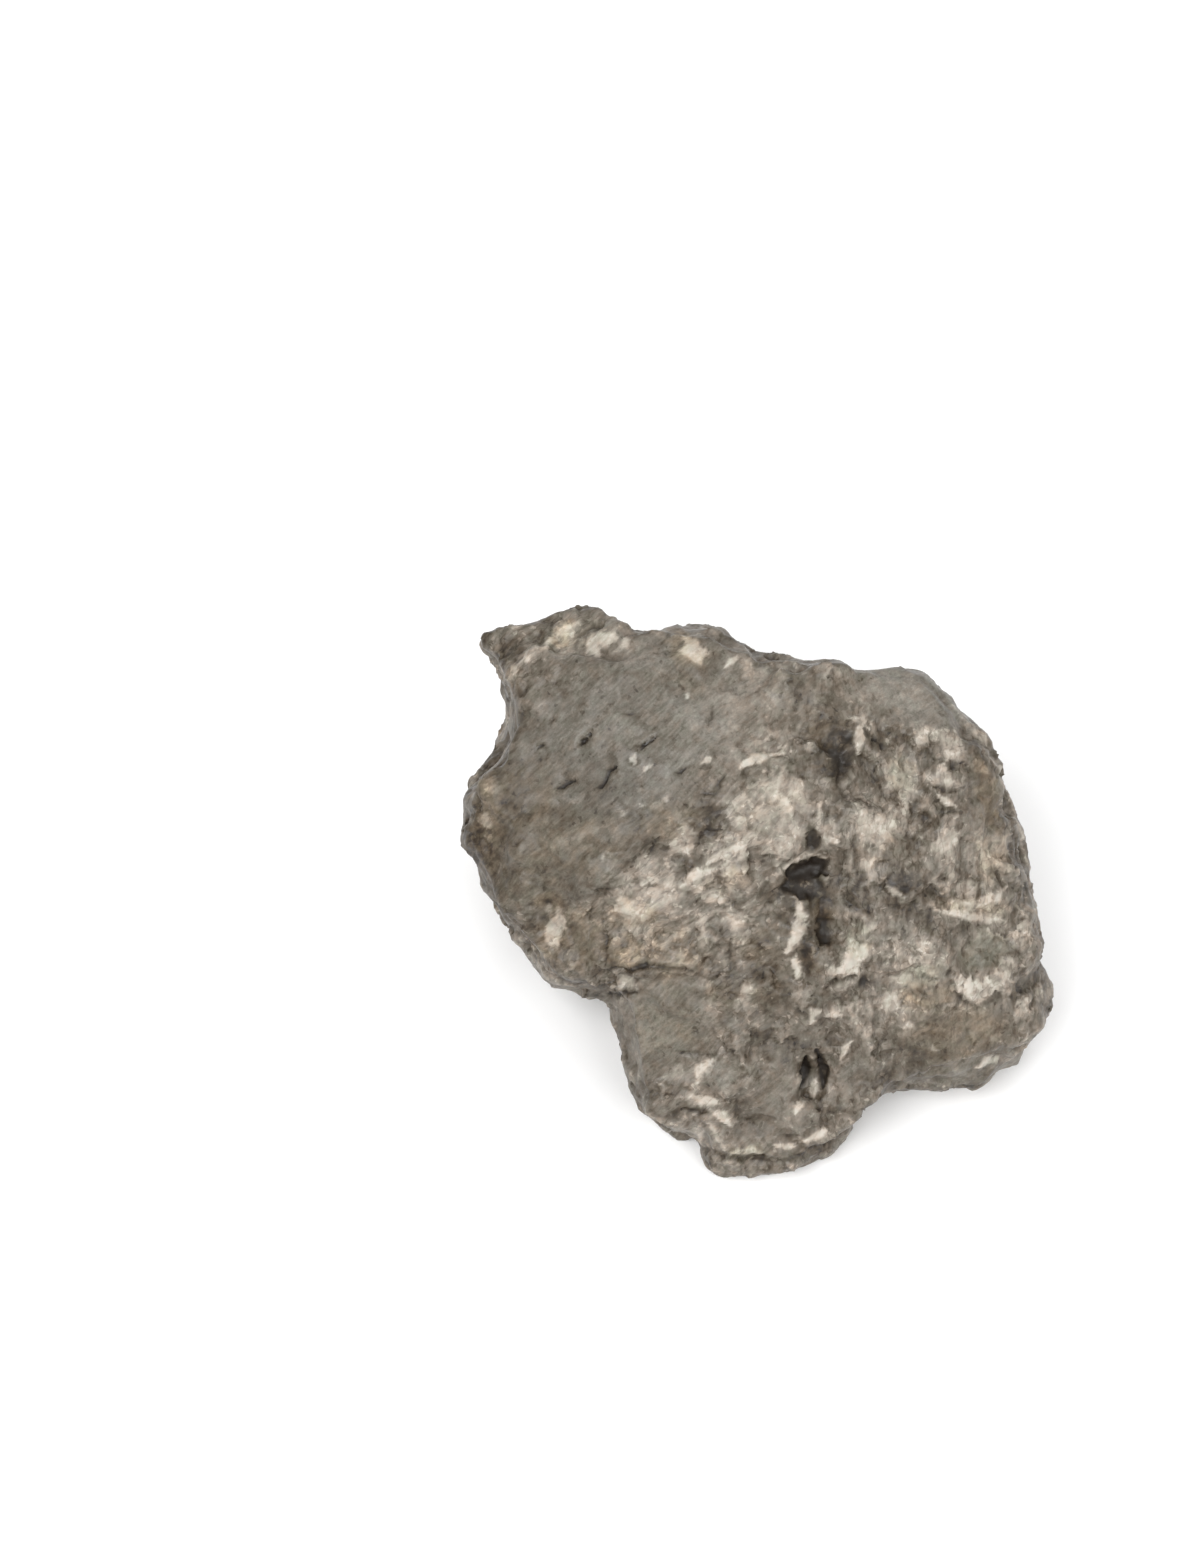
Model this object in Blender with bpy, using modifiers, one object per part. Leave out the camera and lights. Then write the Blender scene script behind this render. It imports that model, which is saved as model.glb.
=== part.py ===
"""A lump of coal as it broke from the seam: one solid lying on a flat cleavage face.

The lump is worked out with its showing side facing up: x to the right, y up that side and z out of it.
Convex blocks, each broken out of a cube along planes, are joined, and shells are scooped out of them
where the coal broke in hollows. The surface is then warped, chipped and pitted, the lump leans back,
and a flat cleavage face is cut for it to lie on.
"""

import math

import bmesh
import bpy
from mathutils import Matrix, Vector, noise

MM = 0.001  # the lists below are in millimetres
UNCUT_BLOCK = 220.0  # the cube that each block is broken out of

# Driving dimensions
SHOW_LEAN = math.radians(30)  # the showing side leans back from level by this much
BASE_DEPTH = 23.5  # from the middle of the lump straight down to its resting face
FRONT_LEAN = math.radians(10)  # how far a side draws in, in front of the broken edge
BACK_LEAN = math.radians(14)  # and behind it
UPPER_BACK_LEAN = math.radians(18)  # more of the same on the upper sides, so that the back stands upright
GRAIN = 1.1  # spacing of the points that the joined blocks are resampled to
WEAR_PASSES = 2  # smoothing that rounds the broken edges
TRIANGLES = 9500  # about how many the surface is thinned to
SPARE = 0.3  # left below the resting face until the surface has been thinned
PATTERN = 2  # which of the random patterns the broken surface has

# Each block has the corners of its broken edge, counterclockwise, and the faces that close it in front
# and behind, each by a point on it and the way it faces.
HEAD_EDGE = [
    (-33.0, -15.2), (-24.0, -18.0), (0.0, -24.0), (30.0, -22.0), (44.2, -12.0), (43.8, -7.0),
    (42.4, 7.4), (34.6, 23.6), (26.2, 34.2), (-8.0, 41.0), (-29.5, 44.6), (-43.4, 40.8),
    (-46.0, 13.4), (-46.2, 7.4), (-39.8, -6.2),
]
HEAD_FACES = [
    ((-25, 18, 15), (-0.30, 0.16, 1.0)),  # the broad table, upper left
    ((-25, 0, 18), (0.02, -0.24, 1.0)),  # the pale cleat face across the middle
    ((20, 30, 12), (0.12, 0.42, 1.0)),  # the smooth shoulder, upper right
    ((30, 8, 14), (0.42, -0.02, 1.0)),  # the right flank
    ((39, 10, 8), (1.0, 0.2, 0.8)),  # its worn edge
    ((-28, -8, 12), (-0.35, -0.40, 1.0)),  # the lower left corner
    ((-20, 38, 10), (-0.10, 0.90, 0.6)),  # the bevel along the top
    ((-39, 37, 4), (-0.60, 0.60, 0.9)),  # the worn top left corner
    ((-43, 6, 8), (-0.90, -0.10, 0.7)),  # the bevel on the left
    ((-30, -10, -14), (-0.70, -0.50, -0.6)),  # behind: lower left
    ((36, 12, -14), (0.90, 0.35, -0.45)),  # behind: right
    ((-35, 33, -30), (-0.75, 0.65, -0.45)),  # behind: upper left
    ((0, 22, -34), (0.10, 0.35, -0.90)),  # behind: drawn in towards the foot
]
HEEL_EDGE = [
    (2.0, -10.0), (33.0, -8.0), (38.0, 12.0), (30.0, 29.0), (14.0, 35.0), (4.0, 30.0), (-2.0, 10.0),
]
HEEL_FACES = [
    ((20, 34, -10), (0.25, 0.80, 0.15)),  # the step below the shoulder, on the back
    ((20, 30, -6), (0.10, 0.30, 0.90)),  # its top
    ((33, 14, -25), (0.80, 0.20, -0.50)),  # its right side
]
TONGUE_EDGE = [
    (-24.0, -14.0), (-22.0, -22.6), (-19.4, -35.0), (-8.0, -43.6), (-5.7, -45.0), (4.7, -44.6),
    (11.5, -42.3), (19.2, -32.4), (26.0, -15.0), (10.0, 0.0), (-15.0, 0.0),
]
TONGUE_FACES = [
    ((-14, -28, 9.5), (-0.22, -0.10, 1.0)),  # the smooth left cheek
    ((8, -30, 9.5), (0.26, -0.12, 1.0)),  # the right cheek
    ((-2, -39, 7), (-0.05, -0.75, 0.9)),  # the slope down to the tip
]
LOBE_EDGE = [
    (18.4, -32.4), (34.6, -32.2), (42.0, -25.4), (46.6, -18.5), (46.6, -15.2), (44.0, -10.0),
    (38.0, 0.0), (15.0, 5.0), (10.0, -20.0),
]
LOBE_FACES = [
    ((32, -20, 9), (0.15, -0.20, 1.0)),  # the brown face, lower right
    ((28, -28, 6), (0.10, -0.90, 0.6)),  # the rim under it
    ((42, -17, 5), (0.70, 0.0, 0.7)),  # the knob at the far right
]
BLOCKS = {
    "head": (HEAD_EDGE, HEAD_FACES),
    "heel": (HEEL_EDGE, HEEL_FACES),
    "tongue": (TONGUE_EDGE, TONGUE_FACES),
    "lobe": (LOBE_EDGE, LOBE_FACES),
}

# Shells that broke away: middle, and half sizes along x, y and z, then a turn about z in degrees
SCOOPS = [
    ((-57, 27, 0), (19.8, 15, 40), 0),  # the hollow in the left side
    ((-36.5, 47, 0), (8, 6, 16), 12),  # the dips in the top edge
    ((-16.5, 46, 1), (9, 6.6, 18), 0),
    ((11, 41, 0), (17, 8, 18), -7),
    ((-12.4, -42.6, 0), (4.2, 4.6, 20), -20),  # the notch left of the tip
    ((16, 22, 20), (4, 9, 5.5), -15),  # the recess under the shoulder
    ((8, 1, 22), (8, 6, 6.5), 0),  # the dark recess in the middle
    ((12, -7, 20), (4.5, 10, 6.5), 15),  # the gully that runs down from it
    ((9, -31, 13), (3.5, 6, 6.5), -10),  # the pit in the tongue
    ((23, -28, 14), (6, 5, 8), 0),  # the hollow between tongue and lobe
    ((-14, 32, -28), (16, 13, 13), 20),  # hollows in the back
    ((29, 31, -30), (12, 10, 12), 0),
    ((50, -4, -16), (12, 14, 12), 0),  # and in the right side
    ((-46, -4, -16), (13, 10, 10), 20),  # and low on the left
]

# Smooth patches of the showing side: middle, and half sizes along x and y
CALM = [((-22, 23), (20, 17)), ((21, 29), (11, 6)), ((-15, -27), (5, 8)), ((31, -22), (8, 5))]

# Ledges of the showing side: a line, how far the face to its right drops and how far that reaches
LEDGES = [
    ((-28, -4), (-11, 12), 1.5, 9),  # the lower edge of the table
    ((-12, 12), (4, 24), 1.3, 8),
    ((-28, -13.5), (-6, -12.5), 2.2, 10),  # above the tongue
    ((-27, -15), (-25, 0), 1.2, 7),  # the block at the lower left
    ((12, 28), (28, 22), 1.4, 7),  # below the shoulder
    ((37, 0), (32, 22), 1.2, 6),  # on the right flank
    ((24, 20), (28, 4), 1.3, 6),
    ((28, -6), (44, -13), 1.3, 5),  # the comb on the lobe
    ((17, -9), (27, -18), 1.4, 7),  # where the lobe leaves the head
    ((-8, -24), (-4, -37), 1.0, 6),  # the pale facet of the tongue
    ((-13, -37), (13, -36), 1.2, 5),  # the banded rim of the tip
    ((19, -28), (38, -27), 1.2, 4),  # the rim under the lobe
    ((-16, 37), (-38, 38), 1.1, 6),  # the chipped top
]

# Cracks and narrow pits of the showing side: a line, half its width, and its depth
CRACKS = [
    ((-28, 22), (-25, 25), 0.8, 0.7),
    ((-19, 22), (-17, 25), 0.7, 0.6),
    ((-25, 15), (-22, 19), 0.9, 0.8),
    ((-32, 16), (-29, 17), 0.7, 0.6),
    ((6.5, -26), (7.5, -33), 1.2, 1.6),
    ((10, -25.5), (10, -32), 1.1, 1.4),
    ((-11, -34), (-6, -34.5), 0.9, 1.0),
]

# The broken surface: sizes across, and depths
WARP_SIZE, WARP_DEPTH = 17.0, 2.4  # slow bends, which leave no face flat or edge straight
SWELL_SIZE, SWELL_DEPTH = 10.0, 1.1  # lumps
FLAKE_SIZE, FLAKE_TILT = 9.0, 0.42  # flat faces, each tilted its own way
CHIP_SIZE, CHIP_TILT = 4.0, 0.36  # small ones of the same kind
CHIPPED_SIZE = 13.0  # the patches where there are such chips, between clean faces
LAYER, LAYER_STEP = 4.2, 1.5  # the seam's layers, which stand out unevenly from the sides
LAYER_TILT, LAYER_WAVE = 0.12, 3.4  # how they slope up the lump, and wander
CROOKED_SIZE, CROOKED = 5.0, 1.2  # how ledges and the borders of flakes wander
RIM = 5.0  # the broken edge keeps its place: within this of it the surface moves less


def clear_scene():
    for existing in list(bpy.data.objects):
        bpy.data.objects.remove(existing)


def object_of(name, shape):
    mesh = bpy.data.meshes.new(name)
    shape.to_mesh(mesh)
    shape.free()
    made = bpy.data.objects.new(name, mesh)
    bpy.context.scene.collection.objects.link(made)
    return made


def coal_material():
    material = bpy.data.materials.new("coal")
    material.use_nodes = True
    surface = material.node_tree.nodes["Principled BSDF"]
    surface.inputs["Base Color"].default_value = (0.13, 0.125, 0.115, 1)
    surface.inputs["Roughness"].default_value = 0.5
    surface.inputs["Metallic"].default_value = 0.0
    return material


def break_along(block, point, facing):
    """Break the block along a plane, and drop what lies beyond it."""
    whole = block.verts[:] + block.edges[:] + block.faces[:]
    bmesh.ops.bisect_plane(
        block, geom=whole, dist=1e-7, plane_co=point, plane_no=facing, clear_outer=True
    )
    bmesh.ops.holes_fill(block, edges=block.edges[:])


def broken_block(name, edge, faces):
    block = bmesh.new()
    bmesh.ops.create_cube(block, size=UNCUT_BLOCK * MM)
    corners = [Vector((x, y, 0)) * MM for x, y in edge]
    for corner, following in zip(corners, corners[1:] + corners[:1]):
        along = (following - corner).normalized()
        outward = Vector((along.y, -along.x, 0))
        back = BACK_LEAN + UPPER_BACK_LEAN * max(0.0, outward.y)
        break_along(block, corner, outward * math.cos(FRONT_LEAN) + Vector((0, 0, math.sin(FRONT_LEAN))))
        break_along(block, corner, outward * math.cos(back) - Vector((0, 0, math.sin(back))))
    for point, facing in faces:
        break_along(block, Vector(point) * MM, Vector(facing).normalized())
    return object_of(name, block)


def scoop(number, middle, half_sizes, turn):
    shell = bmesh.new()
    bmesh.ops.create_icosphere(shell, subdivisions=4, radius=1.0)
    turned = Matrix.Rotation(math.radians(turn), 3, "Z")
    place = Matrix.LocRotScale(Vector(middle) * MM, turned, Vector(half_sizes) * MM)
    bmesh.ops.transform(shell, verts=shell.verts[:], matrix=place)
    return object_of(f"scoop_{number}", shell)


def joined(blocks, scoops):
    """One mesh of the blocks less the scoops, with evenly spaced points and worn edges."""
    body = blocks[0]
    for other, operation in [(b, "UNION") for b in blocks[1:]] + [(s, "DIFFERENCE") for s in scoops]:
        join = body.modifiers.new(other.name, "BOOLEAN")
        join.operation = operation
        join.object = other
    resample = body.modifiers.new("resample", "REMESH")
    resample.mode = "VOXEL"
    resample.voxel_size = GRAIN * MM
    worn = body.modifiers.new("worn", "SMOOTH")
    worn.iterations = WEAR_PASSES
    graph = bpy.context.evaluated_depsgraph_get()
    mesh = bpy.data.meshes.new_from_object(body.evaluated_get(graph))
    for used in blocks + scoops:
        bpy.data.objects.remove(used)
    return mesh


def eased(amount):
    amount = min(1.0, max(0.0, amount))
    return amount * amount * (3 - 2 * amount)


def flakes(place, size, tilt):
    """Height of flat faces that each tilt their own way and meet in small steps."""
    middle = noise.voronoi(place / size)[1][0] * size
    return tilt * noise.noise_vector(middle * 0.7).dot(place - middle)


def layering(place, facing):
    """On the sides that cross the seam's layers, each layer stands out by its own amount."""
    level = place.z + LAYER_TILT * place.y + LAYER_WAVE * noise.noise(place / 20)
    unlike = Vector((math.floor(level / LAYER) * 5.3, 2.1, 0.4))
    return LAYER_STEP * noise.noise(unlike) * (1 - abs(facing.z)) ** 2


def along_line(place, start, end):
    """How far along a line a point lies, from 0 to 1, and how far to the right of it."""
    start, end = Vector(start), Vector(end)
    run = end - start
    offset = place.xy - start
    return offset.dot(run) / run.length_squared, offset.cross(run) / run.length


def drop(place):
    """How far the ledges, cracks and pits lower the showing side at a point."""
    lowered = 0.0
    for start, end, height, reach in LEDGES:
        along, right = along_line(place, start, end)
        if 0 < along < 1 and right > 0:
            lowered += height * eased(4 * min(along, 1 - along)) * math.exp(-right / reach)
    for start, end, half_width, depth in CRACKS:
        along, right = along_line(place, start, end)
        if 0 < along < 1:
            lowered += depth * eased(1.3 - abs(right) / half_width)
    return lowered


def calmness(place):
    """1 in the middle of a smooth patch, down to 0 beyond its border."""
    distances = [math.hypot((place.x - x) / a, (place.y - y) / b) for (x, y), (a, b) in CALM]
    return eased(1.8 - 1.3 * min(distances))


def roughen(shape):
    """Move every point as the coal broke there."""
    shape.normal_update()
    for point in shape.verts:
        place = point.co / MM
        showing = eased(place.z / RIM)
        loose = eased(abs(place.z) / RIM)
        crooked = place + noise.noise_vector(place / CROOKED_SIZE) * CROOKED
        rough = (1 - 0.8 * calmness(crooked) * showing) * (0.35 + 0.65 * loose)
        chipped = eased(0.55 + 1.6 * noise.noise(place / CHIPPED_SIZE))
        height = SWELL_DEPTH * noise.fractal(place / SWELL_SIZE, 1.0, 2.0, 3)
        height += flakes(crooked, FLAKE_SIZE, FLAKE_TILT) + flakes(crooked, CHIP_SIZE, CHIP_TILT) * chipped
        height = height * rough + layering(place, point.normal) * loose
        height -= drop(crooked) * showing
        warp = noise.noise_vector(place / WARP_SIZE) * WARP_DEPTH * loose
        point.co = (place + warp + point.normal * height) * MM


def thinned(shape):
    """The same surface with fewer triangles: large where it is flat and small where it is broken."""
    full = object_of("full", shape)
    thin = full.modifiers.new("thin", "DECIMATE")
    thin.ratio = TRIANGLES / sum(len(face.vertices) - 2 for face in full.data.polygons)
    fewer = bmesh.new()
    fewer.from_object(full, bpy.context.evaluated_depsgraph_get())
    bpy.data.objects.remove(full)
    return fewer


def main():
    clear_scene()
    noise.seed_set(PATTERN)
    blocks = [broken_block(name, *shape) for name, shape in BLOCKS.items()]
    scoops = [scoop(number, *shape) for number, shape in enumerate(SCOOPS)]
    lump = bmesh.new()
    lump.from_mesh(joined(blocks, scoops))
    roughen(lump)
    leaning = Matrix.Translation((0, 0, BASE_DEPTH * MM)) @ Matrix.Rotation(SHOW_LEAN, 4, "X")
    bmesh.ops.transform(lump, verts=lump.verts[:], matrix=leaning)
    break_along(lump, Vector((0, 0, -SPARE * MM)), Vector((0, 0, -1)))
    lump = thinned(lump)
    break_along(lump, Vector((0, 0, 0)), Vector((0, 0, -1)))
    bmesh.ops.triangulate(lump, faces=lump.faces[:])
    xs = [point.co.x for point in lump.verts]
    ys = [point.co.y for point in lump.verts]
    centring = Vector((-min(xs) - max(xs), -min(ys) - max(ys), 0)) / 2
    bmesh.ops.translate(lump, verts=lump.verts[:], vec=centring)
    coal = object_of("coal_lump", lump)
    coal.data.materials.append(coal_material())
    kept = bpy.data.collections.new("coal_lump")
    bpy.context.scene.collection.children.link(kept)
    bpy.context.scene.collection.objects.unlink(coal)
    kept.objects.link(coal)


main()
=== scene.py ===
import math

import bmesh
import bpy
import numpy as np
from mathutils import Matrix, Vector, noise


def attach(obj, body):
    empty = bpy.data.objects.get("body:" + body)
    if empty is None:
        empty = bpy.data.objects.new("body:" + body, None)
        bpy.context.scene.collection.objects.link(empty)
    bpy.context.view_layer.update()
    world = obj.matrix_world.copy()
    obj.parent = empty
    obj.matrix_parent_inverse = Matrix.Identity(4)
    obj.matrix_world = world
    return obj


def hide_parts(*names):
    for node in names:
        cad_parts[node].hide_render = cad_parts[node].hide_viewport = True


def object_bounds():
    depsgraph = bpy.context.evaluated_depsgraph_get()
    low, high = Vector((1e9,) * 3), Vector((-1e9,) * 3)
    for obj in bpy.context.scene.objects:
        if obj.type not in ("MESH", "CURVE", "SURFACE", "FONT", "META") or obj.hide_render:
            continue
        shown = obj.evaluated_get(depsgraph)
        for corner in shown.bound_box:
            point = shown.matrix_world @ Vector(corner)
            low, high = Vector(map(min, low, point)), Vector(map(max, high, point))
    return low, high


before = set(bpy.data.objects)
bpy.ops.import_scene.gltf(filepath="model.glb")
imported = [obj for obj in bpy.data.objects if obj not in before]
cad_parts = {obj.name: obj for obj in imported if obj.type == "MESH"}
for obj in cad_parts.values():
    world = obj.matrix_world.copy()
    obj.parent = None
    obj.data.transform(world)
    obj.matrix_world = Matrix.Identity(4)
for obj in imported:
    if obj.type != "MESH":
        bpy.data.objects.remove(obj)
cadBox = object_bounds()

mm = 0.001  # every length below is in millimetres, and is turned to metres where Blender takes it
noise.seed_set(4)

# ---- The camera, and the plane that the lump shows ----

shot = {
    "elevation": 60,  # degrees above the floor
    "distance": 750,
    "lumpMiddle": (0.5, -0.4, 23.5),
    "pixel": 0.156,  # how much of the lump a pixel covers
    "pictureHeight": 1551,  # in pixels
    "pictureMiddle": (-24.96, 17.94),  # right of the lump's middle and above it
    "sensor": 36,
    "nearest": 10,  # nothing closer to the camera is drawn
}

lean = math.radians(shot["elevation"])
# Columns: to the right, up the picture and out of it. The lump's features below are placed in this plane.
planeTurn = Matrix(((1, 0, 0), (0, math.sin(lean), -math.cos(lean)), (0, math.cos(lean), math.sin(lean))))
plane = Matrix.Translation(Vector(shot["lumpMiddle"])) @ planeTurn.to_4x4()


def addCamera():
    camera = bpy.data.cameras.new("camera")
    camera.sensor_width = shot["sensor"]
    camera.lens = shot["sensor"] * shot["distance"] / (shot["pictureHeight"] * shot["pixel"])
    camera.clip_start = shot["nearest"] * mm
    placed = bpy.data.objects.new("camera", camera)
    bpy.context.scene.collection.objects.link(placed)
    x, y = shot["pictureMiddle"]
    placed.location = plane @ Vector((x, y, shot["distance"])) * mm
    placed.rotation_euler = planeTurn.to_euler()
    bpy.context.scene.camera = placed
    print("camera set")


# ---- The lump's surface ----

lump = {
    "weld": 0.01,  # points of the solid that are closer than this become one
    "pointSpacing": 0.54,  # of the fine mesh
    "smoothing": 2,
    "swell": (5.0, 0.30),  # size and height
    "flakes": (4.2, 0.42),  # size, and how far their faces tilt
    "chips": (2.0, 0.21),
    "leaningGrain": 42,  # degrees: how the grain of the coal runs on the left
    "uprightGrain": 86,  # and on the right
    "grainTurns": (-8, 14),  # where it starts and ends to turn, to the right of the lump's middle
    "crook": (1.8, 0.5),  # the bends of the flakes and the grain: size and reach
    "slivers": (1.3, 3.6, 0.14),  # chips along the grain: width, length, tilt
    "striae": (0.8, 4.0, 0.05),  # width, length and height
    "grain": (0.9, 0.035),
    "layers": (2.4, 9.0, 0.40),  # on the sides: thickness, length, and how far they stand out
    "laminae": (0.9, 14.0, 0.07),
    "ridge": 0.32,  # how far the pale lines stand out
    "hollowDepth": 0.8,
    "rubble": (0.9, 0.22),  # the broken ground in the hollows: size and height
    "crackDepth": 0.75,
    "filmDepth": 0.2,
    "hiddenTones": (9, 0.12),  # paler and darker ground on the hidden sides: size and strength
    "lineWander": 0.35,  # how much of the wander of the patches' borders the lines take
    "footHeight": 1.0,  # the underside stays flat up to here
    "sink": 0.05,  # how far the surface draws in, which leaves room for what stands out
}

# Patches: right, up, half length, half width, degrees, strength
smoothFaces = [
    (-21, 24, 22, 15, 35, 1.0),  # the table
    (-31, 6, 12, 9, 25, 0.9),
    (4, 30, 9, 4.5, -15, 0.5),
    (24.5, 31, 12, 5, -15, 1.0),  # the shoulder
    (-14.5, -21.5, 8.5, 7, 90, 1.0),  # the tongue's left cheek
    (-6.2, -28.6, 3.2, 2.6, 0, 0.9),
    (2.4, -31.8, 3.0, 3.2, 0, 0.9),
    (14.7, -28.6, 3.4, 2.4, 30, 0.9),
    (-27.5, -7.7, 2.6, 3.6, 0, 1.0),
    (35.2, -10, 3.4, 2.6, 10, 0.9),
    (32.5, -27.5, 6, 2, 10, 0.7),
    (30.5, -22.5, 8, 4.0, 8, 0.65),
    (24.0, -27.0, 4, 2.4, 8, 0.6),
    (34.5, 13, 2.5, 8, 10, 0.6),
    (-4, -38.0, 7, 3, -10, 0.5),
]

# Pale patches: partly a real pale mineral film, partly painted sheen where facets catch the light
paleFilmAndSheen = [
    (2.5, 12.5, 6.5, 5.0, 50, 0.80),  # the broad pale break in the middle
    (-2.8, 12.4, 2.4, 3.0, 0, 0.85),
    (-3.5, 8.0, 6.0, 2.8, 35, 0.70),
    (10.6, 9.4, 1.8, 1.9, 0, 1.10),
    (-12.0, 7.9, 2.3, 1.6, 60, 0.85),  # and its tail along the table's edge
    (-11.0, 6.2, 0.6, 1.0, 0, 1.10),
    (-18.6, 2.6, 3.8, 2.2, 35, 0.80),
    (-15.0, -0.4, 6.0, 1.7, 18, 0.80),
    (-20.9, -3.0, 3.2, 2.0, 5, 0.90),
    (-20.3, -7.0, 3.0, 4.2, 0, 0.50),
    (-5.0, 0.8, 6.0, 2.6, 15, 0.60),
    (-8.0, -0.9, 2.8, 1.2, -10, 0.90),
    (-3.0, -5.6, 2.4, 1.6, -20, 0.65),
    (17.4, 9.8, 3.6, 3.2, 0, 0.95),
    (17.4, 3.6, 2.2, 3.2, 0, 0.60),
    (22.2, 18.2, 2.6, 3.8, 5, 0.90),
    (25.4, 23.8, 0.9, 1.5, -20, 0.90),
    (27.4, 24.2, 1.1, 1.0, 0, 0.70),
    (30.0, 22.4, 2.0, 1.8, -60, 0.75),
    (29.0, 17.4, 3.6, 1.5, -15, 0.80),
    (29.3, 7.8, 1.5, 2.7, -25, 1.10),  # a broken triangle
    (36.4, 4.6, 2.6, 4.4, 5, 0.50),
    (32.6, 0.3, 2.3, 1.3, -10, 0.80),
    (34.0, -3.0, 6.0, 2.0, -8, 0.45),
    (38.0, -5.8, 2.8, 1.3, -10, 0.60),
    (38.8, -12.0, 1.7, 1.2, 40, 0.85),
    (13.0, 16.4, 1.3, 1.0, 0, 0.65),
    (7.4, 22.6, 1.2, 1.0, 0, 0.75),
    (15.3, -10.2, 2.8, 1.5, 48, 1.10),
    (12.2, -12.6, 1.6, 1.0, 20, 0.75),
    (25.8, -8.6, 1.5, 1.6, 0, 0.70),
    (24.4, -12.4, 3.6, 1.8, 10, 0.55),
    (20.2, -9.0, 2.4, 1.6, 30, 0.45),
    (34.0, -15.2, 3.8, 1.4, 4, 0.35),  # the comb on the lobe
    (37.6, -13.4, 3.0, 1.3, 40, 0.55),
    (20.6, -17.2, 1.1, 1.4, -30, 0.95),
    (18.4, -17.6, 2.4, 0.9, 55, 0.60),
    (12.4, -18.9, 2.4, 0.8, 8, 0.80),
    (23.0, -20.8, 1.0, 0.7, 0, 0.90),
    (27.2, -24.4, 1.2, 0.4, -5, 0.80),
    (29.6, -18.6, 3.6, 1.2, 8, 0.45),
    (40.4, -18.6, 2.0, 0.9, 60, 0.85),
    (-21.0, -14.3, 2.1, 1.2, -10, 0.80),  # under the crack above the tongue
    (-8.8, -27.8, 1.8, 1.1, 45, 0.75),
    (-6.2, -28.6, 3.2, 2.6, 0, 0.30),
    (-8.8, -32.9, 1.9, 1.0, -10, 1.20),
    (-13.6, -28.4, 1.5, 1.2, 0, 0.50),
    (-3.2, -9.0, 1.4, 3.4, 0, 0.45),
    (-2.6, -16.6, 1.0, 2.6, -25, 0.90),
    (-31.9, -5.6, 1.2, 2.4, -8, 1.50),  # the bright chip at the lower left
    (-32.5, -7.6, 0.8, 1.4, 15, 1.20),
    (-33.5, -3.4, 0.6, 0.7, 0, 0.70),
    (-43.0, 11.0, 1.2, 0.7, -25, 1.00),
    (-10.2, 37.4, 2.3, 1.5, -25, 1.70),  # the oval chip at the top
    (-26.2, 38.3, 1.2, 1.0, 0, 1.40),
    (-23.8, 39.3, 1.7, 0.9, 20, 1.25),
    (-21.0, 38.6, 0.9, 0.8, 0, 0.80),
    (-36.2, 36.4, 0.6, 0.9, 20, 0.90),
    (-38.0, 34.0, 0.6, 0.7, 0, 0.70),
    (-29.8, 39.4, 3.0, 1.4, 55, 0.55),
    (-34.5, 37.4, 1.2, 1.8, -30, 0.40),
    (-38.8, 33.0, 2.4, 4.5, 15, 0.20),
    (-11.7, 30.8, 0.6, 0.7, 0, 1.20),
    (0.8, 23.4, 3.2, 1.4, 20, 0.45),
    (4.5, 29.5, 4.5, 3.0, 0, 0.36),
    (-17.2, 19.2, 0.6, 0.6, 0, 1.50),  # specks on the table
    (-19.7, 20.3, 0.5, 0.8, 0, 1.30),
    (-8.6, 20.3, 0.6, 0.5, 0, 1.30),
    (-14.8, 14.0, 0.6, 0.6, 0, 0.80),
    (-18.3, 13.1, 0.5, 0.5, 0, 0.80),
    (-19.2, 16.2, 0.6, 0.5, 0, 0.70),
    (-22.0, 12.0, 1.6, 0.5, 15, 0.70),
    (-24.6, 4.7, 0.6, 0.6, 0, 0.90),
    (-28.6, 14.4, 1.3, 0.6, 20, 0.60),
    (8.8, 11.0, 1.4, 0.8, 10, 0.80),
    (1.6, 6.8, 2.6, 1.4, 0, 0.65),
    (-19.4, 0.8, 3.0, 1.4, 15, 0.50),
    (-21.6, 3.6, 2.2, 1.6, 30, 0.50),
    (-18.6, -0.2, 2.4, 1.4, 10, 0.70),
    (2.4, 4.4, 1.8, 0.9, -10, 0.60),
    (-14.2, 5.6, 1.5, 1.0, 50, 0.50),
    (15.2, -18.6, 1.0, 1.4, -40, 0.60),
]

# Hollows: sunk into the surface, and darkened in colour as painted shade
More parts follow.
